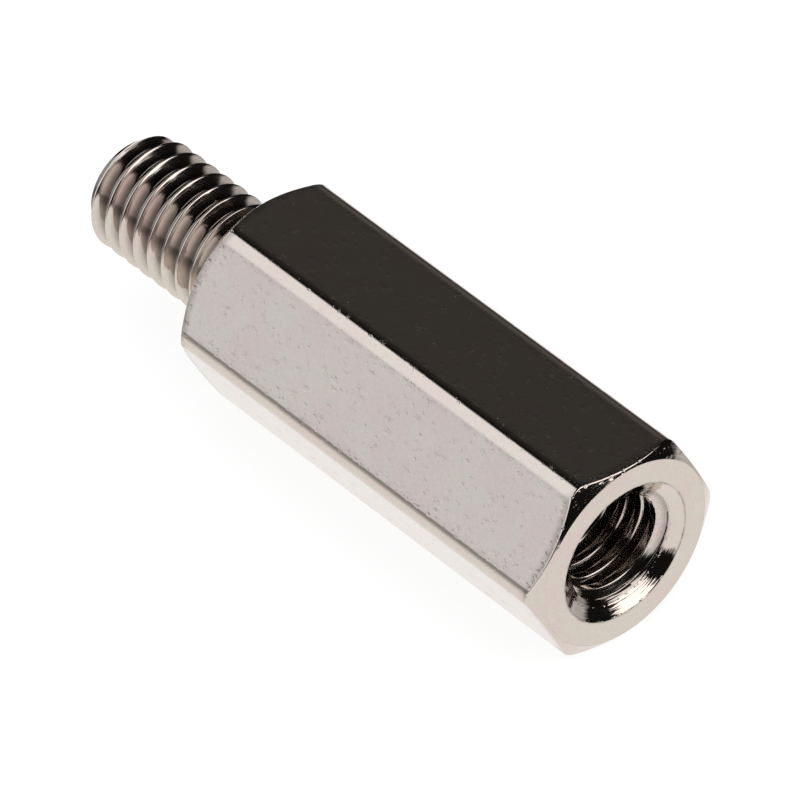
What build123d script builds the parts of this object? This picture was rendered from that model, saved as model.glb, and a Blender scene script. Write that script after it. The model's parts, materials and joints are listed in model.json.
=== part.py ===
"""Male-female hex standoff, turned and tapped from one length of drawn brass hex bar.

Millimetres, +Z up. The standoff lies on one of its flats, on z = 0, with its axis along X. +X points
to the open, tapped end, and the origin is under the middle of the overall length. Both threads are
plain cylinders here: the stud at its major diameter, the tapped hole at its minor diameter.
"""
import os
from math import cos, radians, tan

from build123d import *

# Hex body
across_flats = 10.0
body_length = 25.0
corner_radius = 1.0  # rounding of the bar's long edges

# Corners turned off at the two ends of the body: how far the round end face lies inside the flats,
# and the angle of the cone behind it, measured from that face
open_face_inset = 0.13
open_cone_angle = 31.0
shoulder_face_inset = 0.25
shoulder_cone_angle = 40.0

# Thread of the stud and of the hole
thread_diameter = 6.0
thread_pitch = 1.0
stud_length = 9.5
stud_chamfer_angle = 40.0  # at the tip, measured from the axis

# Tapped hole, blind
drill_allowance = 0.1  # how much the drill is over diameter less pitch
hole_depth = 15.0  # to the end of the full diameter
drill_point_angle = 118.0
countersink_diameter = 7.3
countersink_angle = 110.0

# Sizes and places that follow
ROOT_FACTOR = 1.2269  # ISO external thread: major diameter less root diameter, for a pitch of 1
stud_radius = thread_diameter / 2
stud_tip_radius = stud_radius - ROOT_FACTOR * thread_pitch / 2
hole_radius = (thread_diameter - thread_pitch + drill_allowance) / 2
corner_reach = across_flats / 2 / cos(radians(30))

axis_height = across_flats / 2
open_end_x = (body_length + stud_length) / 2
shoulder_x = open_end_x - body_length
stud_tip_x = shoulder_x - stud_length

turning_axis = Axis((0, 0, axis_height), (1, 0, 0))
turning_plane = Plane((0, 0, axis_height), x_dir=(1, 0, 0), z_dir=(0, -1, 0))


def turned(points):
    """Solid turned about the standoff's axis, from an outline of (x, radius) points."""
    outline = make_face(Polyline(*points, close=True))
    return revolve(turning_plane * outline, axis=turning_axis)


def hex_bar():
    """Length of drawn bar: a hexagonal prism with rounded long edges, lying on a flat."""
    section = RegularPolygon(across_flats / 2, 6, major_radius=False)
    section = fillet(section.vertices(), corner_radius)
    bar_start = Plane((shoulder_x, 0, axis_height), x_dir=(0, 1, 0), z_dir=(1, 0, 0))
    return extrude(bar_start * section, amount=body_length)


def end_cones():
    """What turning leaves of the bar: round end faces with a cone behind each."""
    open_radius = across_flats / 2 - open_face_inset
    shoulder_radius = across_flats / 2 - shoulder_face_inset
    open_cone_length = (corner_reach - open_radius) * tan(radians(open_cone_angle))
    shoulder_cone_length = (corner_reach - shoulder_radius) * tan(radians(shoulder_cone_angle))
    return turned([
        (shoulder_x, 0),
        (shoulder_x, shoulder_radius),
        (shoulder_x + shoulder_cone_length, corner_reach),
        (open_end_x - open_cone_length, corner_reach),
        (open_end_x, open_radius),
        (open_end_x, 0),
    ])


def stud():
    """Threaded stud at its major diameter, chamfered at the tip to the root of the thread.

    It starts inside the body, as deep as it is thick, so that the two join as one solid.
    """
    chamfer_length = (stud_radius - stud_tip_radius) / tan(radians(stud_chamfer_angle))
    return turned([
        (shoulder_x + stud_radius, 0),
        (shoulder_x + stud_radius, stud_radius),
        (stud_tip_x + chamfer_length, stud_radius),
        (stud_tip_x, stud_tip_radius),
        (stud_tip_x, 0),
    ])


def tapped_hole():
    """Blind hole at the minor diameter, with its drill point and the countersink at its mouth."""
    mouth_radius = countersink_diameter / 2
    countersink_depth = (mouth_radius - hole_radius) / tan(radians(countersink_angle / 2))
    point_length = hole_radius / tan(radians(drill_point_angle / 2))
    hole_end_x = open_end_x - hole_depth
    return turned([
        (open_end_x, 0),
        (open_end_x, mouth_radius),
        (open_end_x - countersink_depth, hole_radius),
        (hole_end_x, hole_radius),
        (hole_end_x - point_length, 0),
    ])


def standoff():
    """The finished standoff, one solid."""
    body = hex_bar() & end_cones()
    return body + stud() - tapped_hole()


os.makedirs("parts", exist_ok=True)
export_step(standoff(), "parts/standoff.step")
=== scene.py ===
# %% [markdown]
# # Hex standoff
# A male-female standoff: a length of hexagonal brass bar with a threaded stud turned at one end and a
# threaded hole tapped in the other, then plated with nickel. It spaces one board or panel from another.
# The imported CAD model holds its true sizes. This script starts from it, models the whole part again with
# its two threads as real helices, and gives every surface the finish that its tool or mill left on it.

# %% Load the frame
import json
import math

import bpy
import numpy as np
from mathutils import Matrix, Vector


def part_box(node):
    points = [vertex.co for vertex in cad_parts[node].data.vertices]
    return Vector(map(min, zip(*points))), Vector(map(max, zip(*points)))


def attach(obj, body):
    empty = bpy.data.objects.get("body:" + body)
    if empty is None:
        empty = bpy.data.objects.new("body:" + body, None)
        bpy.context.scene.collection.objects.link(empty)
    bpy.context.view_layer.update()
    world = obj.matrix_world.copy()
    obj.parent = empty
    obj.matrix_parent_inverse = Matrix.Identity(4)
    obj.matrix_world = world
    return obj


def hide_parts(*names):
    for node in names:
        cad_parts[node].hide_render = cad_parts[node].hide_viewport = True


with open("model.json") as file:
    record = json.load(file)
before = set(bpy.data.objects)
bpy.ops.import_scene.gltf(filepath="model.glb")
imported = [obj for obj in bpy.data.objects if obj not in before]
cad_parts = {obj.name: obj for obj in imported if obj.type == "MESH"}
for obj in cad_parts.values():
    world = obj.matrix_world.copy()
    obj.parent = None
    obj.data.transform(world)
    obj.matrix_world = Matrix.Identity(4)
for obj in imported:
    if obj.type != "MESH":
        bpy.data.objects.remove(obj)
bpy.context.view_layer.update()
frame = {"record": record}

# %% [markdown]
# ## Sizes
# Whatever fits or meets something is read from the frame: the mounts give both threads' radii and the
# places of the end faces, and the box gives the width across flats. The rest are the small sizes that
# only show: how the corners are turned off, and how a thread's crest and root are shaped.

# %% Sizes from the frame
MM = 0.001
mounts = {mount["name"]: mount for mount in frame["record"]["mounts"]}
box_low, box_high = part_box("standoff")

across_flats = box_high.z - box_low.z
axis_height = across_flats / 2
open_x = mounts["open_end"]["pos_m"][0]
shoulder_x = mounts["shoulder"]["pos_m"][0]
tip_x = box_low.x
stud_radius = mounts["stud"]["dims"]["r_mm"] * MM
hole_radius = mounts["tapped_hole"]["dims"]["r_mm"] * MM
hole_wall_length = mounts["tapped_hole"]["dims"]["length_mm"] * MM
hole_end_x = mounts["tapped_hole"]["pos_m"][0] - hole_wall_length / 2
print(f"across flats {across_flats / MM:.2f} mm, body {(open_x - shoulder_x) / MM:.2f} mm")

# %% Sizes of the shape's details
pitch = 1.0 * MM
long_edge_radius = 1.0 * MM

open_face_radius = across_flats / 2 - 0.13 * MM
open_cone_slope = math.tan(math.radians(31))
shoulder_face_radius = across_flats / 2 - 0.25 * MM
shoulder_cone_slope = math.tan(math.radians(40))
end_edge_rounding = 0.11 * MM

mouth_radius = 3.65 * MM
countersink_slope = math.tan(math.radians(55))
drill_point_slope = 1 / math.tan(math.radians(59))
tapped_length = 12.5 * MM

root_depth = 0.6134 * pitch
tip_radius = stud_radius - root_depth
tip_cone_slope = math.tan(math.radians(40))

# %% [markdown]
# ## Outline of the bar
# Drawn bar is a hexagon with rounded corners. Round the axis it can be described by one number for each
# angle: how far the skin is from the axis. Columns of vertices run along the part at chosen angles. They
# crowd together on the six roundings, where the surface turns, and spread out on the flats.

# %% The hexagon as a radius at each angle
SIDE_ANGLE = math.radians(60)
half_side = SIDE_ANGLE / 2
corner_centre = (across_flats / 2 - long_edge_radius) / math.cos(half_side)
arc_end_angle = math.atan2(long_edge_radius * math.sin(half_side),
                           corner_centre + long_edge_radius * math.cos(half_side))


def hexagon_radius(angle):
    """Distance of the bar's skin from its axis; the corners are at 0, 60, 120 degrees and so on from +Y."""
    from_corner = np.abs((angle + half_side) % SIDE_ANGLE - half_side)
    flat = across_flats / 2 / np.cos(half_side - from_corner)
    chord = long_edge_radius ** 2 - (corner_centre * np.sin(from_corner)) ** 2
    arc = corner_centre * np.cos(from_corner) + np.sqrt(np.maximum(chord, 0))
    return np.where(from_corner < arc_end_angle, arc, flat)


def column_angles(arc_steps, flat_steps):
    """Angles of the columns for one full turn, with the first repeated at the end."""
    turns = np.linspace(-half_side, half_side, arc_steps + 1)
    arc = np.arctan2(long_edge_radius * np.sin(turns),
                     corner_centre + long_edge_radius * np.cos(turns))
    flat = np.linspace(arc_end_angle, SIDE_ANGLE - arc_end_angle, flat_steps + 1)[1:-1]
    one_side = np.concatenate([arc, flat])
    angles = np.concatenate([one_side + SIDE_ANGLE * side for side in range(6)])
    return np.append(angles, angles[0] + 2 * math.pi)


columns = column_angles(arc_steps=14, flat_steps=12)
print(f"{len(columns) - 1} columns, {hexagon_radius(columns).max() / MM:.2f} mm from axis to corner")

# %% [markdown]
# ## Threads
# A thread is a groove wound round a cylinder. Cut along the axis it is a row of 60 degree teeth, and going
# once round moves the row along by one pitch. So the radius depends on a single number, the phase: the
# place along the axis in pitches, less the turns made. Plating rounds every edge a little, which a smooth
# maximum does here: it blends two slopes where they would meet in a corner.

# %% The radius of a thread at any place and angle
FLANK_SLOPE = math.tan(math.radians(60))
crest_half_width = pitch / 24
CREST_SOFTNESS = 0.05 * MM
ROOT_SOFTNESS = 0.07 * MM
stud_start = 0.0
hole_start = 0.23


def smooth_max(a, b, softness):
    """The larger of a and b, rounded off where they cross."""
    return 0.5 * (a + b + np.sqrt((a - b) ** 2 + softness ** 2))


def teeth(x, angle, start, crest_radius):
    """Radius of a right-hand thread's pointed teeth, with no bottom to the grooves yet."""
    phase = x / pitch - angle / (2 * math.pi) + start
    from_crest = np.abs((phase + 0.5) % 1 - 0.5) * pitch
    return crest_radius - smooth_max(FLANK_SLOPE * (from_crest - crest_half_width), 0, CREST_SOFTNESS)


def stud_thread(angle, x):
    """The stud: rounded roots, shallower against the shoulder where the die's lead stopped."""
    run_out = np.clip((x - shoulder_x) / (1.2 * pitch) + 1, 0, 1)
    root = tip_radius + 0.5 * root_depth * run_out ** 2
    thread = smooth_max(teeth(x, angle, stud_start, stud_radius - 0.002 * MM), root, ROOT_SOFTNESS)
    tip_cone = tip_radius + (x - tip_x) * tip_cone_slope
    return x, np.minimum(thread, tip_cone)


def hole_thread(angle, x):
    """The tapped wall: a groove cut outwards from the drilled hole, fading where the tap stopped."""
    depth = stud_radius + 0.02 * MM - hole_radius
    fade = np.clip((x - (open_x - tapped_length)) / (2 * pitch), 0, 1)
    groove = teeth(x, angle, hole_start, hole_radius + depth * fade)
    thread = smooth_max(groove, hole_radius, 0.02 * MM * fade)
    countersink = mouth_radius - (open_x - x) * countersink_slope
    return x, np.maximum(thread, countersink)


def pitch_steps(*half_steps):
    """Places of the rows in one pitch, from crest to crest, given as shares of it up to the half way."""
    half = np.array(half_steps)
    return np.concatenate([[0], half, [0.5], 1 - half[::-1]])


stud_steps = pitch_steps(0.04, 0.0625, 0.085, 0.12, 0.21, 0.30, 0.37, 0.40, 0.43, 0.46)
hole_steps = pitch_steps(0.04, 0.0625, 0.085, 0.13, 0.20, 0.27, 0.30, 0.32, 0.34, 0.38)
print(f"{len(stud_steps)} rows in each turn of the stud, {len(hole_steps)} in each of the hole")

# %% [markdown]
# ## The skin, section by section
# The whole surface is one strip of sections, from the bottom of the hole out to its mouth, over the open
# face, along the flats and down the stud to its tip. Each section is a function that gives a place along
# the axis and a radius. The mesh's vertices come from it, and so do exact normals, by taking a tiny step
# each way. Exact normals matter on bright metal: a wrong one bends the reflection and shows at once.

# %% Collecting sections
sections = []
STEP_AROUND = 1e-5
PULL_INSIDE = 1e-5
SLIVER = 0.001 * MM


def place(shape, angle, value):
    """Points of a section, in the frame's own axes."""
    x, radius = np.broadcast_arrays(*shape(angle, value))
    return np.stack([x, radius * np.cos(angle), axis_height + radius * np.sin(angle)], axis=-1)


def add_section(name, shape, rows, finish, edge=0.0):
    """Adds the section whose shape gives x and radius; rows holds its parameter, row by row."""
    rows = np.broadcast_to(rows, (len(rows), len(columns))) if rows.ndim == 2 else np.repeat(
        rows[:, None], len(columns), axis=1)
    angle = np.broadcast_to(columns, rows.shape)
    span = rows.max() - rows.min()
    inside = rows + PULL_INSIDE * (rows.mean() - rows)
    step = 1e-4 * span
    along = place(shape, angle, inside + step) - place(shape, angle, inside - step)
    around = place(shape, angle + STEP_AROUND, inside) - place(shape, angle - STEP_AROUND, inside)
    normals = np.cross(along, around) * np.sign(rows[-1, 0] - rows[0, 0])
    normals /= np.linalg.norm(normals, axis=-1, keepdims=True)
    sections.append({"name": name, "points": place(shape, angle, rows), "normals": normals,
                     "finish": finish, "edge": np.broadcast_to(edge, rows.shape)})


def between(start, end):
    """A section shape that runs straight from one (x, radius) to another, each fixed or set by angle."""
    def shape(angle, t):
        x0, r0 = start(angle)
        x1, r1 = end(angle)
        return x0 + (x1 - x0) * t, r0 + (r1 - r0) * t
    return shape


def fixed(x, radius):
    """A ring that is the same at every angle."""
    return lambda angle: (x + 0 * angle, radius + 0 * angle)


def thread_rows(steps, low_x, high_x, start, towards_low):
    """Rows that follow the helix, held between two planes; one within a sliver of a plane is put on it."""
    turns = range(math.floor(low_x / pitch) - 3, math.ceil(high_x / pitch) + 3)
    offsets = np.concatenate([steps + turn for turn in turns]) - start
    rows = (offsets[:, None] + columns / (2 * math.pi)) * pitch
    rows = np.where(rows < low_x + SLIVER, low_x, rows)
    rows = np.where(rows > high_x - SLIVER, high_x, rows)
    return rows[::-1] if towards_low else rows


# %% [markdown]
# ### The tapped hole
# A drill leaves a straight hole with a cone at its end, a countersink opens the mouth, and the tap cuts
# its groove in between. Where the groove comes out through the countersink the rows can't follow the
# edge, so the pure cone above it is a section of its own.

# %% Hole, from its bottom to its mouth
thread_end_x = open_x - tapped_length
cone_start_x = open_x - (mouth_radius - stud_radius - 0.04 * MM) / countersink_slope
drill_point = fixed(hole_end_x - hole_radius * drill_point_slope, 0)

add_section("drill point", between(drill_point, fixed(hole_end_x, hole_radius)),
            np.linspace(0, 1, 4), "deep hole")
add_section("drilled wall", between(fixed(hole_end_x, hole_radius), fixed(thread_end_x, hole_radius)),
            np.linspace(0, 1, 3), "deep hole")
add_section("tapped wall", hole_thread,
            thread_rows(hole_steps, thread_end_x, cone_start_x, hole_start, towards_low=False), "tapped wall")


def hole_ring(angle):
    """Edge between the tapped wall and the clean part of the countersink."""
    return hole_thread(angle, cone_start_x + 0 * angle)


countersink_rows = np.array([0, 0.06, 0.15, 0.4, 0.7, 0.90, 0.96, 1])
add_section("countersink", between(hole_ring, fixed(open_x, mouth_radius)), countersink_rows,
            "countersink", edge=np.array([1, 0.6, 0, 0, 0, 0, 0.8, 1])[:, None])
print("hole sections:", [section["name"] for section in sections])

# %% [markdown]
# ### Ends of the bar
# Both ends are faced flat, and a cone behind each face takes off the six corners. The cone meets each flat
# in a curve that dips at the corners. The edge there isn't sharp: a small rounding turns the cone's slope
# into the flat, and catches the light as a thin line.

# %% The open face, the cones and the flats
def cone_edge(end_x, face_radius, slope, inwards):
    """(x, radius) where an end's cone reaches the bar's skin, at each angle."""
    def ring(angle):
        radius = hexagon_radius(angle)
        return end_x + inwards * (radius - face_radius) * slope, radius
    return ring


def edge_arc(end_x, face_radius, slope, inwards):
    """Shape of the rounding from a cone (t = 0) to the flats (t = 1), as an arc in the plane of the axis."""
    cone_turn = math.pi / 2 - math.atan(slope)
    reach = end_edge_rounding * math.tan(cone_turn / 2)
    ring = cone_edge(end_x, face_radius, slope, inwards)

    def shape(angle, t):
        x, radius = ring(angle)
        lean = cone_turn * (1 - t)
        along = reach - end_edge_rounding * np.sin(lean)
        return x + inwards * along, radius - end_edge_rounding * (1 - np.cos(lean))
    return shape


def at(shape, t):
    """The ring of a section at one value of its parameter."""
    return lambda angle: shape(angle, t)


open_arc = edge_arc(open_x, open_face_radius, open_cone_slope, -1)
shoulder_arc = edge_arc(shoulder_x, shoulder_face_radius, shoulder_cone_slope, 1)
ARC_ROWS = np.linspace(0, 1, 6)


def near_ends(length, *distances):
    """Parameters from 0 to 1 along a length, close to both ends at the given distances."""
    near = np.array(distances) / length
    return np.concatenate([[0], near, np.linspace(0.1, 0.9, 9), 1 - near[::-1], [1]])


flat_rows = near_ends(open_x - shoulder_x, 0.08 * MM, 0.2 * MM, 0.5 * MM, 1.0 * MM)
flat_edge = np.interp(np.minimum(flat_rows, 1 - flat_rows), [0, 0.02], [1, 0])[:, None]

add_section("open face", between(fixed(open_x, mouth_radius), fixed(open_x, open_face_radius)),
            np.array([0, 0.04, 0.09, 0.5, 0.94, 1]), "turned face",
            edge=np.array([1, 0.7, 0, 0, 0, 0.5])[:, None])
add_section("open cone", between(fixed(open_x, open_face_radius), at(open_arc, 0)),
            np.linspace(0, 1, 4), "cone", edge=0.6)
add_section("open edge", open_arc, ARC_ROWS, "cone", edge=1.0)
# The lines where the corner roundings meet the flats count a little as edges: they get knocks, and some of
# the painted shade that darkens edges.
from_corner = np.abs((columns + half_side) % SIDE_ANGLE - half_side)
seam = 0.35 * (np.abs(from_corner - arc_end_angle) < 1e-6)
add_section("flats", between(at(open_arc, 1), at(shoulder_arc, 1)), flat_rows, "drawn bar",
            edge=np.maximum(flat_edge, seam))
add_section("shoulder edge", shoulder_arc, ARC_ROWS[::-1], "cone", edge=1.0)
add_section("shoulder cone", between(at(shoulder_arc, 0), fixed(shoulder_x, shoulder_face_radius)),
            np.linspace(0, 1, 4), "cone", edge=0.6)
print("bar sections:", [section["name"] for section in sections[4:]])

# %% [markdown]
# ### The stud
# The stud is a helical strip like the hole's, turned inside out. Its thread runs up to the shoulder and is
# cut off by a chamfer at the tip, where the parting tool left a flat face.

# %% Shoulder, stud and tip
def stud_ring(angle):
    """Outline of the thread where it meets the shoulder."""
    return stud_thread(angle, shoulder_x + 0 * angle)


add_section("shoulder face", between(fixed(shoulder_x, shoulder_face_radius), stud_ring),
            np.linspace(0, 1, 5), "turned face")
add_section("stud thread", stud_thread,
            thread_rows(stud_steps, tip_x, shoulder_x, stud_start, towards_low=True), "thread")
add_section("tip face", between(fixed(tip_x, tip_radius), fixed(tip_x, 0)),
            np.linspace(0, 1, 6), "turned face")
print("stud sections:", [section["name"] for section in sections[10:]])

# %% [markdown]
# ## From sections to one mesh
# Each section is a grid of points. Neighbours in the grid make quads, points in the same place become one
# vertex, and quads that have shrunk to a line are dropped. What is left is one closed skin. The normals are
# kept for each corner of each face, so an edge between two sections can stay crisp.

# %% Join the sections
MERGE_GRID = 1e-9
finishes = ["drawn bar", "cone", "turned face", "countersink", "thread", "tapped wall", "deep hole"]


def grid_quads(row_count, column_count, first):
    """Corner numbers of the quads of one grid, in order round each quad."""
    corner = first + np.arange(row_count * column_count).reshape(row_count, column_count)
    return np.stack([corner[:-1, :-1], corner[1:, :-1], corner[1:, 1:], corner[:-1, 1:]], -1).reshape(-1, 4)


def joined_skin(parts):
    """Vertices, faces, and for each face its finish and its corners' normals, of all the sections."""
    points = np.concatenate([part["points"].reshape(-1, 3) for part in parts])
    normals = np.concatenate([part["normals"].reshape(-1, 3) for part in parts])
    edge = np.concatenate([part["edge"].reshape(-1) for part in parts])
    keys = np.round(points / MERGE_GRID).astype(np.int64)
    _, kept, merged = np.unique(keys, axis=0, return_index=True, return_inverse=True)
    merged = merged.reshape(-1)
    faces, corner_normals, slots, first = [], [], [], 0
    for part in parts:
        rows, width = part["points"].shape[:2]
        for quad in grid_quads(rows, width, first):
            corners = [i for n, i in enumerate(quad) if merged[i] != merged[quad[n - 1]]]
            if len(corners) > 2:
                faces.append([int(merged[i]) for i in corners])
                corner_normals.extend(normals[i] for i in corners)
                slots.append(finishes.index(part["finish"]))
        first += rows * width
    return points[kept], faces, np.array(corner_normals), slots, edge[kept]


def skin_object(name, parts):
    """The joined sections as a mesh object with exact normals."""
    points, faces, corner_normals, slots, edge = joined_skin(parts)
    mesh = bpy.data.meshes.new(name)
    mesh.from_pydata(points.tolist(), [], faces)
    mesh.polygons.foreach_set("material_index", slots)
    mesh.attributes.new("edge", "FLOAT", "POINT").data.foreach_set("value", edge)
    mesh.shade_smooth()
    mesh.normals_split_custom_set(corner_normals.tolist())
    made = bpy.data.objects.new(name, mesh)
    bpy.context.scene.collection.objects.link(made)
    return made


standoff = skin_object("plated_standoff", sections)
triangles = sum(len(face.vertices) - 2 for face in standoff.data.polygons)
print(f"{len(standoff.data.vertices)} vertices, {triangles} triangles")

# %% [markdown]
# ## Node helpers
# The finishes are built from nodes. These few helpers keep the wiring short: one makes a node and sets its
# inputs, with a link where it is given a socket and a value where it is given a number.

# %% Helpers for nodes
def node(tree, kind, inputs=(), **settings):
    """A node with its settings and inputs; inputs maps a socket's name or number to a value or a socket."""
    made = tree.nodes.new(kind)
    for key, value in settings.items():
        setattr(made, key, value)
    for key, value in dict(inputs).items():
        if isinstance(value, bpy.types.NodeSocket):
            tree.links.new(value, made.inputs[key])
        else:
            made.inputs[key].default_value = value
    return made


def calc(tree, operation, *values):
    """Output of a Math node."""
    return node(tree, "ShaderNodeMath", enumerate(values), operation=operation).outputs[0]


def ramp(tree, value, low, high, low_to=0.0, high_to=1.0):
    """Value moved smoothly from the range low..high to low_to..high_to."""
    sockets = {"Value": value, "From Min": low, "From Max": high, "To Min": low_to, "To Max": high_to}
    return node(tree, "ShaderNodeMapRange", sockets, interpolation_type="SMOOTHSTEP").outputs["Result"]


def new_group(name, inputs, outputs):
    """An empty shader node group with named sockets, and its input and output nodes."""
    group = bpy.data.node_groups.new(name, "ShaderNodeTree")
    for label, default in inputs.items():
        socket = group.interface.new_socket(label, in_out="INPUT", socket_type="NodeSocketFloat")
        socket.default_value = default
    for label, kind in outputs.items():
        group.interface.new_socket(label, in_out="OUTPUT", socket_type=kind)
    return group, group.nodes.new("NodeGroupInput"), group.nodes.new("NodeGroupOutput")


def place_in_mm(tree):
    """The point on the object, in millimetres."""
    coordinates = node(tree, "ShaderNodeTexCoord").outputs["Object"]
    scaled = node(tree, "ShaderNodeVectorMath", {0: coordinates, "Scale": 1 / MM}, operation="SCALE")
    return scaled.outputs[0]


# %% [markdown]
# ## Effects that several finishes share
# Small parts are plated loose in a barrel, so they knock against each other. That leaves shallow dents and
# short scratches everywhere, which one group makes from scattered cells. Turning leaves rings round the
# axis, which come from noise stretched round it. Nickel has a faint bloom of warmer and cooler patches.

# %% Group: dents and scratches
def dents_group():
    """Scattered marks of one shape. Stretch above 1 draws them out into scratches along a turned X."""
    group, given, result = new_group(
        "Barrel marks",
        {"Spacing": 1.0, "Size": 0.1, "Share": 0.5, "Stretch": 1.0, "Turn": 0.0, "Wobble": 0.1},
        {"Mask": "NodeSocketFloat", "Height": "NodeSocketFloat"})
    point = place_in_mm(group)
    wobble = node(group, "ShaderNodeTexNoise", {"Vector": point, "Scale": 9.0, "Detail": 1.0})
    offset = node(group, "ShaderNodeVectorMath", {0: wobble.outputs["Color"], 1: (0.5, 0.5, 0.5)},
                  operation="SUBTRACT").outputs[0]
    moved = node(group, "ShaderNodeVectorMath", {0: offset, 1: point}, operation="MULTIPLY_ADD")
    group.links.new(given.outputs["Wobble"], moved.inputs[1])
    group.links.new(point, moved.inputs[2])
    turned = node(group, "ShaderNodeVectorRotate",
                  {"Vector": moved.outputs[0], "Angle": given.outputs["Turn"], "Axis": (0.5, 0.6, 0.62)})
    squeeze = node(group, "ShaderNodeCombineXYZ", {"X": calc(group, "DIVIDE", 1.0, given.outputs["Stretch"]),
                                                   "Y": 1.0, "Z": 1.0})
    squeezed = node(group, "ShaderNodeVectorMath", {0: turned.outputs[0], 1: squeeze.outputs[0]},
                    operation="MULTIPLY")
    per_mm = calc(group, "DIVIDE", 1.0, given.outputs["Spacing"])
    cells = node(group, "ShaderNodeTexVoronoi", {"Vector": squeezed.outputs[0], "Scale": per_mm})
    chance = node(group, "ShaderNodeSeparateColor", {0: cells.outputs["Color"]})
    chosen = calc(group, "LESS_THAN", chance.outputs[0], given.outputs["Share"])
    own_size = calc(group, "MULTIPLY", given.outputs["Size"], ramp(group, chance.outputs[1], 0, 1, 0.45, 1.3))
    reach = calc(group, "DIVIDE", own_size, given.outputs["Spacing"])
    inside = calc(group, "SUBTRACT", 1.0, calc(group, "DIVIDE", cells.outputs["Distance"], reach))
    bowl = ramp(group, inside, 0.0, 1.0)
    mask = calc(group, "MULTIPLY", bowl, chosen)
    group.links.new(mask, result.inputs["Mask"])
    group.links.new(calc(group, "MULTIPLY", mask, -1.0), result.inputs["Height"])
    return group


barrel_marks = dents_group()
print("group", barrel_marks.name)

# %% Group: turning rings
def rings_group():
    """Fine rings round the axis, a little uneven, as a cutting tool leaves them."""
    group, given, result = new_group("Turning rings", {"Spacing": 0.1, "Unevenness": 0.5},
                                     {"Height": "NodeSocketFloat", "Radius": "NodeSocketFloat"})
    point = place_in_mm(group)
    axis_point = node(group, "ShaderNodeVectorMath", {0: point, 1: (0, 0, axis_height / MM)},
                      operation="SUBTRACT")
    across = node(group, "ShaderNodeVectorMath", {0: axis_point.outputs[0], 1: (0, 1, 1)},
                  operation="MULTIPLY")
    radius = node(group, "ShaderNodeVectorMath", {0: across.outputs[0]}, operation="LENGTH").outputs["Value"]
    along = node(group, "ShaderNodeSeparateXYZ", {0: axis_point.outputs[0]}).outputs["X"]
    outwards = node(group, "ShaderNodeVectorMath", {0: across.outputs[0]}, operation="NORMALIZE").outputs[0]
    uneven = node(group, "ShaderNodeVectorMath", {0: outwards, "Scale": given.outputs["Unevenness"]},
                  operation="SCALE").outputs[0]
    path = calc(group, "DIVIDE", calc(group, "MULTIPLY_ADD", along, 0.37, radius), given.outputs["Spacing"])
    noise = node(group, "ShaderNodeTexNoise", {"Vector": uneven, "W": path, "Scale": 1.0, "Detail": 1.0},
                 noise_dimensions="4D")
    group.links.new(noise.outputs[0], result.inputs["Height"])
    group.links.new(radius, result.inputs["Radius"])
    return group


turning_rings = rings_group()
print("group", turning_rings.name)

# %% Group: bloom of the plating
def bloom_group():
    """Soft patches, warmer and cooler, with a fine grain inside them."""
    group, given, result = new_group("Plating bloom", {"Size": 2.0, "Grain": 0.3},
                                     {"Tint": "NodeSocketColor", "Patch": "NodeSocketFloat"})
    point = place_in_mm(group)
    scale = calc(group, "DIVIDE", 1.0, given.outputs["Size"])
    patches = node(group, "ShaderNodeTexNoise", {"Vector": point, "Scale": scale, "Detail": 3.0,
                                                 "Roughness": 0.55, "Distortion": 0.4})
    grain = node(group, "ShaderNodeTexNoise", {"Vector": point, "Scale": 7.0, "Detail": 2.0})
    warmth = ramp(group, patches.outputs[0], 0.38, 0.62)
    warm_cool = node(group, "ShaderNodeMix", {"Factor": warmth, "A": (0.98, 1.0, 0.985, 1),
                                              "B": (1.0, 0.955, 0.98, 1)}, data_type="RGBA")
    shade = ramp(group, grain.outputs[0], 0.3, 0.7, 0.0, 1.0)
    lowered = calc(group, "SUBTRACT", 1.0, calc(group, "MULTIPLY", shade, given.outputs["Grain"]))
    tint = node(group, "ShaderNodeVectorMath", {"Scale": lowered}, operation="SCALE")
    group.links.new(warm_cool.outputs["Result"], tint.inputs[0])
    group.links.new(tint.outputs[0], result.inputs["Tint"])
    group.links.new(patches.outputs[0], result.inputs["Patch"])
    return group


plating_bloom = bloom_group()
print("group", plating_bloom.name)

# %% [markdown]
# ## The nickel finishes
# Every surface is the same bright nickel, a slightly warm grey metal. What differs is what the nickel
# covers: drawn bar, a turned face, a cut thread. So one function makes the metal, and each finish passes it
# the height of its own marks, and the painted shade that darkens its edges or grooves. A Bump node turns
# height into tilted normals, which is enough for marks a few micrometres deep. Scratches on the bar are
# rougher too.

# %% Make the finishes
NICKEL = (0.68, 0.605, 0.54)
SCUFF_ROUGHNESS = 0.30
LONG_SCRATCHES = {"Spacing": 0.34, "Size": 0.10, "Share": 0.38, "Stretch": 5.0, "Turn": 0.5, "Wobble": 0.4}
CROSSED_SCRATCHES = {"Spacing": 0.30, "Size": 0.08, "Share": 0.38, "Stretch": 4.0, "Turn": 4.0, "Wobble": 0.4}


def use_group(tree, group, **values):
    """A group placed in a material with its own values."""
    return node(tree, "ShaderNodeGroup", {key.replace("_", " "): value for key, value in values.items()},
                node_tree=group)


def edge_mask(tree):
    """1 on an edge between two surfaces, falling to 0 beside it."""
    return node(tree, "ShaderNodeAttribute", attribute_name="edge").outputs["Fac"]


def waviness(tree, size):
    """Slow unevenness of a surface that is only roughly flat."""
    sockets = {"Vector": place_in_mm(tree), "Scale": 1 / size, "Detail": 1.0}
    return node(tree, "ShaderNodeTexNoise", sockets).outputs[0]


def even(tree):
    """No change of brightness."""
    return 1.0


def painted_dark_edges(tree):
    """Painted shade: the edges are a little darker, here more and there less."""
    edge_shade = calc(tree, "MULTIPLY", edge_mask(tree), ramp(tree, waviness(tree, 0.5), 0.3, 0.7, 0.4))
    return ramp(tree, edge_shade, 0.0, 1.0, 1.0, 0.6)


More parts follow.
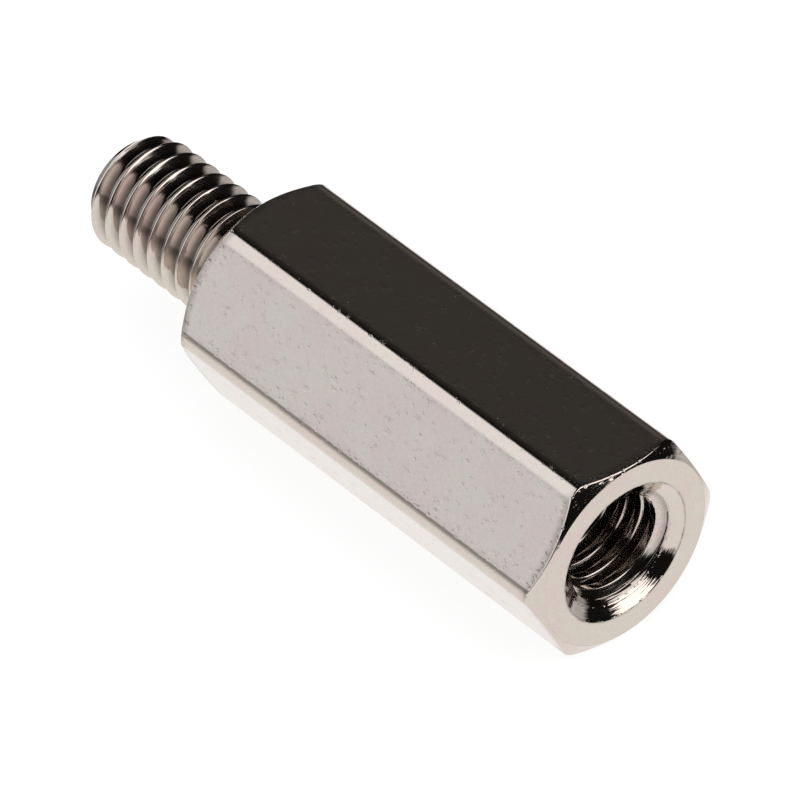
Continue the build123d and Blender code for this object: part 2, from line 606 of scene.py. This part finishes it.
def painted_shade_in_roots(tree):
    """Painted shade: the colour darkens towards the bottom of the stud's thread, where the grooves lie in
    shade.
    """
    radius = use_group(tree, turning_rings).outputs["Radius"]
    return ramp(tree, radius, (stud_radius - root_depth) / MM, stud_radius / MM - 0.1, 0.35, 1.0)


def painted_shade_in_grooves(tree):
    """Painted shade the same way: darker towards the bottom of the groove in the tapped wall."""
    radius = use_group(tree, turning_rings).outputs["Radius"]
    return ramp(tree, radius, hole_radius / MM + 0.1, stud_radius / MM, 1.0, 0.65)


def nickel(name, roughness, bloom_size, grain, heights, tone, scuffs=None):
    """Bright nickel; heights gives its relief in millimetres, tone its brightness with any painted shade,
    scuffs its rough marks.
    """
    material = bpy.data.materials.new(name)
    material.use_nodes = True
    tree = material.node_tree
    metal = tree.nodes["Principled BSDF"]
    metal.inputs["Metallic"].default_value = 1.0
    bloom = use_group(tree, plating_bloom, Size=bloom_size, Grain=grain)
    clean = node(tree, "ShaderNodeVectorMath", {0: bloom.outputs["Tint"], 1: NICKEL}, operation="MULTIPLY")
    colour = node(tree, "ShaderNodeVectorMath", {0: clean.outputs[0], "Scale": tone(tree)}, operation="SCALE")
    tree.links.new(colour.outputs[0], metal.inputs["Base Color"])
    rough = ramp(tree, bloom.outputs["Patch"], 0.3, 0.7, roughness * 0.85, roughness * 1.15)
    if scuffs:
        rough = calc(tree, "MULTIPLY_ADD", scuffs(tree), SCUFF_ROUGHNESS, rough)
    tree.links.new(rough, metal.inputs["Roughness"])
    bump = node(tree, "ShaderNodeBump", {"Height": heights(tree), "Strength": 1.0, "Distance": MM})
    tree.links.new(bump.outputs[0], metal.inputs["Normal"])
    return material


def added(tree, *terms):
    """Sum of (height, depth) pairs."""
    total = 0.0
    for height, depth in terms:
        total = calc(tree, "MULTIPLY_ADD", height, depth, total)
    return total


def bar_scuffs(tree):
    """Scratches on the drawn bar, rougher than the plating round them."""
    long = use_group(tree, barrel_marks, **LONG_SCRATCHES)
    crossed = use_group(tree, barrel_marks, **CROSSED_SCRATCHES)
    return calc(tree, "MAXIMUM", long.outputs["Mask"], crossed.outputs["Mask"])


def bar_heights(tree):
    """Drawn bar: dents, scratches both ways, faint waviness."""
    dents = use_group(tree, barrel_marks, Spacing=0.42, Size=0.20, Share=0.45, Stretch=1.5, Turn=0.8,
                      Wobble=0.3)
    specks = use_group(tree, barrel_marks, Spacing=0.25, Size=0.08, Share=0.45, Wobble=0.10)
    scratches = use_group(tree, barrel_marks, **LONG_SCRATCHES)
    crossed = use_group(tree, barrel_marks, **CROSSED_SCRATCHES)
    knocks = use_group(tree, barrel_marks, Spacing=0.25, Size=0.16, Share=0.5, Wobble=0.2)
    at_edge = calc(tree, "MULTIPLY", knocks.outputs["Height"], edge_mask(tree))
    return added(tree, (dents.outputs["Height"], 0.0042), (specks.outputs["Height"], 0.0015),
                 (scratches.outputs["Height"], 0.0028), (crossed.outputs["Height"], 0.0028),
                 (at_edge, 0.016), (waviness(tree, 1.2), 0.004))


def cone_heights(tree):
    """Turned cones and their edges: rings, and nicks where the edge was knocked."""
    rings = use_group(tree, turning_rings, Spacing=0.12, Unevenness=1.5)
    nicks = use_group(tree, barrel_marks, Spacing=0.25, Size=0.14, Share=0.5, Wobble=0.2)
    depth = ramp(tree, edge_mask(tree), 0.6, 1.0, 0.006, 0.022)
    cuts = calc(tree, "MULTIPLY", nicks.outputs["Height"], depth)
    return added(tree, (rings.outputs["Height"], 0.005), (cuts, 1.0), (waviness(tree, 0.5), 0.008))


def face_heights(tree):
    """Turned end face: rings and a few dents."""
    rings = use_group(tree, turning_rings, Spacing=0.12, Unevenness=0.6)
    dents = use_group(tree, barrel_marks, Spacing=0.5, Size=0.2, Share=0.4)
    nicks = use_group(tree, barrel_marks, Spacing=0.2, Size=0.1, Share=0.6, Wobble=0.2)
    at_edge = calc(tree, "MULTIPLY", nicks.outputs["Height"], edge_mask(tree))
    return added(tree, (rings.outputs["Height"], 0.002), (dents.outputs["Height"], 0.006),
                 (at_edge, 0.015), (waviness(tree, 0.9), 0.008))


def countersink_heights(tree):
    """Countersink: deeper, uneven rings."""
    rings = use_group(tree, turning_rings, Spacing=0.10, Unevenness=2.5)
    nicks = use_group(tree, barrel_marks, Spacing=0.2, Size=0.1, Share=0.6, Wobble=0.2)
    at_edge = calc(tree, "MULTIPLY", nicks.outputs["Height"], edge_mask(tree))
    return added(tree, (rings.outputs["Height"], 0.006), (at_edge, 0.03), (waviness(tree, 0.6), 0.010))


def thread_heights(tree):
    """Thread flanks: fine rings and a little unevenness."""
    rings = use_group(tree, turning_rings, Spacing=0.14, Unevenness=2.0)
    nicks = use_group(tree, barrel_marks, Spacing=0.5, Size=0.12, Share=0.35, Wobble=0.2)
    return added(tree, (rings.outputs["Height"], 0.003), (nicks.outputs["Height"], 0.005),
                 (waviness(tree, 0.8), 0.010))


def tapped_heights(tree):
    """Tapped wall: torn a little along the cut, which draws its reflections out into streaks."""
    rings = use_group(tree, turning_rings, Spacing=0.11, Unevenness=1.2)
    return added(tree, (rings.outputs["Height"], 0.006), (waviness(tree, 0.6), 0.008))


materials = {
    "drawn bar": nickel("nickel_on_drawn_bar", 0.09, 2.5, 0.05, bar_heights, painted_dark_edges,
                       bar_scuffs),
    "cone": nickel("nickel_on_turned_cone", 0.07, 1.0, 0.05, cone_heights, even),
    "turned face": nickel("nickel_on_turned_face", 0.14, 1.2, 0.05, face_heights, painted_dark_edges),
    "countersink": nickel("nickel_on_countersink", 0.06, 1.0, 0.03, countersink_heights, painted_dark_edges),
    "thread": nickel("nickel_on_thread", 0.10, 3.0, 0.06, thread_heights, painted_shade_in_roots),
    "tapped wall": nickel("nickel_on_tapped_wall", 0.09, 1.0, 0.15, tapped_heights, painted_shade_in_grooves),
    "deep hole": nickel("nickel_deep_in_hole", 0.35, 1.0, 0.40, tapped_heights, even),
}
for finish in finishes:
    standoff.data.materials.append(materials[finish])

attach(standoff, "root")
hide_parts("standoff")
print("finishes:", [material.name for material in standoff.data.materials])

# %% [markdown]
# ## A white table and a studio that metal can reflect
# Polished metal has almost no colour of its own: it shows the room. A product studio for metal is a bright
# table, a white wall on one side, a soft box above, and black everywhere else, because the black parts of
# the reflection draw the object's edges. The world shader makes those from the direction of each ray. Rays
# from the camera find plain white instead, and so do those that light the table.

# %% The studio round the part
def direction(azimuth, elevation):
    """Unit vector; azimuth in degrees from +X towards +Y."""
    a, e = math.radians(azimuth), math.radians(elevation)
    return (math.cos(a) * math.cos(e), math.sin(a) * math.cos(e), math.sin(e))


world = bpy.data.worlds.new("studio")
bpy.context.scene.world = world
world.use_nodes = True
room = world.node_tree
ray = node(room, "ShaderNodeTexCoord").outputs["Generated"]
height = node(room, "ShaderNodeSeparateXYZ", {0: ray}).outputs["Z"]


def towards(aim):
    """How nearly a ray points along aim: 1 straight at it, 0 square to it."""
    return node(room, "ShaderNodeVectorMath", {0: ray, 1: aim}, operation="DOT_PRODUCT").outputs["Value"]


def patch(aim, half_angle, blur):
    """Mask of a round patch of the room, centred on aim, with its edge blurred."""
    edge = math.cos(math.radians(half_angle))
    return ramp(room, towards(aim), edge - blur, edge + blur)


front = ramp(room, towards(direction(-127, 0)), 0.0, 0.5)
far_side = ramp(room, towards(direction(92, 0)), 0.78, 0.95, 1.0, 0.5)
back_table = calc(room, "MULTIPLY", far_side, ramp(room, height, -0.23, -0.11, 1.0, 0.0))
front_table = ramp(room, height, -0.50, -0.10, 1.0, 0.34)
front_table = calc(room, "MULTIPLY", front_table, ramp(room, height, 0.0, 0.11, 1.0, 0.0))
table = node(room, "ShaderNodeMix", {"Factor": front, "A": back_table, "B": front_table}).outputs["Result"]
wall = calc(room, "MULTIPLY", patch(direction(-127, 0), 63.5, 0.06), ramp(room, height, 0.0, 0.11))
upper_wall = calc(room, "MULTIPLY", wall, ramp(room, height, 0.12, 0.38))
box_sides = calc(room, "MULTIPLY", ramp(room, towards(direction(78, 0)), -0.03, 0.03),
                 ramp(room, towards(direction(-36, 0)), -0.03, 0.03))
box_height = calc(room, "MULTIPLY", ramp(room, height, 0.235, 0.275),
                  ramp(room, height, 0.86, 0.93, 1.0, 0.0))
soft_box = calc(room, "MULTIPLY", box_sides, box_height)
card_fade = ramp(room, height, 0.45, 0.82, 1.7, 0.3)
grey_card = calc(room, "MULTIPLY", patch(direction(137, 40), 25, 0.05), card_fade)
low_card = patch(direction(127, 8), 15, 0.02)

light = room.nodes.new("ShaderNodeBackground")
lit_parts = [
    (table, (1.0, 1.0, 1.0)),
    (wall, (0.85, 0.88, 0.94)),
    (upper_wall, (0.27, 0.27, 0.25)),
    (soft_box, (1.8, 1.8, 1.8)),
    (grey_card, (0.043, 0.042, 0.040)),
    (low_card, (0.060, 0.058, 0.055)),
]
colour = (0.008, 0.008, 0.008)
for mask, tone in lit_parts:
    lit = node(room, "ShaderNodeVectorMath", {0: tone, "Scale": mask}, operation="SCALE")
    colour = node(room, "ShaderNodeVectorMath", {0: lit.outputs[0], 1: colour}, operation="ADD").outputs[0]
room.links.new(colour, light.inputs["Color"])

rays = node(room, "ShaderNodeLightPath")
plain = node(room, "ShaderNodeBackground", {"Color": (1, 1, 1, 1)})
unmirrored = calc(room, "MAXIMUM", rays.outputs["Is Camera Ray"], rays.outputs["Is Diffuse Ray"])
mix = node(room, "ShaderNodeMixShader", {0: unmirrored, 1: light.outputs[0], 2: plain.outputs[0]})
room.links.new(mix.outputs[0], room.nodes["World Output"].inputs["Surface"])
print("studio of", len(lit_parts), "lit parts")

# %% [markdown]
# ## Table top
# The part lies on a white table that glows a little, as acrylic lit from below does, so its own shadow is
# faint. The metal sees the table through the world shader, which has no edge, so the plane itself is kept
# out of reflections.

# %% The table's plane
TABLE_HALF_SIZE = 1.5
TABLE_GLOW = 0.86
TABLE_WHITE = (0.2, 0.2, 0.2, 1)
LAMP_POWER = 0.1
LAMP_DISTANCE = 0.6
bpy.ops.mesh.primitive_plane_add(size=2 * TABLE_HALF_SIZE, location=(0, 0, box_low.z))
table_top = bpy.context.object
table_top.name = "table_top"
table_top.visible_glossy = False
white = bpy.data.materials.new("white_acrylic")
white.use_nodes = True
acrylic = white.node_tree
glow = node(acrylic, "ShaderNodeEmission", {"Color": (1, 1, 1, 1), "Strength": TABLE_GLOW})
sheet = node(acrylic, "ShaderNodeBsdfDiffuse", {"Color": TABLE_WHITE})
both = node(acrylic, "ShaderNodeAddShader", {0: glow.outputs[0], 1: sheet.outputs[0]})
acrylic.links.new(both.outputs[0], acrylic.nodes["Material Output"].inputs["Surface"])
table_top.data.materials.append(white)

lamp = bpy.data.objects.new("soft_lamp", bpy.data.lights.new("soft_lamp", "AREA"))
lamp.data.shape = "DISK"
lamp.data.size = 0.3
lamp.data.energy = LAMP_POWER
lamp.location = Vector(direction(30, 50)) * LAMP_DISTANCE
lamp.rotation_euler = lamp.location.to_track_quat("Z", "Y").to_euler()
lamp.visible_glossy = False
bpy.context.scene.collection.objects.link(lamp)
print("table and lamp placed")

# %% [markdown]
# ## Camera
# A long lens from half a metre away keeps the flats nearly parallel. The camera looks down on the open end
# from the front, and is rolled by a degree or two.

# %% The camera
camera_azimuth = math.radians(47.54)
camera_elevation = math.radians(39.75)
camera_roll = math.radians(1.80)
camera_distance = 517.4 * MM
aim = Vector((7.159, -4.809, 10.048)) * MM

back = Vector((math.sin(camera_azimuth) * math.cos(camera_elevation),
               -math.cos(camera_azimuth) * math.cos(camera_elevation),
               math.sin(camera_elevation)))
level = Vector((0, 0, 1)).cross(back).normalized()
upright = back.cross(level)
right = math.cos(camera_roll) * level + math.sin(camera_roll) * upright
up = math.cos(camera_roll) * upright - math.sin(camera_roll) * level

camera = bpy.data.objects.new("camera", bpy.data.cameras.new("camera"))
camera.data.sensor_width = 36
camera.data.lens = 516.92
turned_to_aim = Matrix((right, up, back)).transposed().to_4x4()
camera.matrix_world = Matrix.Translation(aim + back * camera_distance) @ turned_to_aim
bpy.context.scene.collection.objects.link(camera)
bpy.context.scene.camera = camera
bpy.context.scene.view_settings.view_transform = "Standard"
print("camera at, mm:", [round(c / MM, 1) for c in camera.matrix_world.translation])
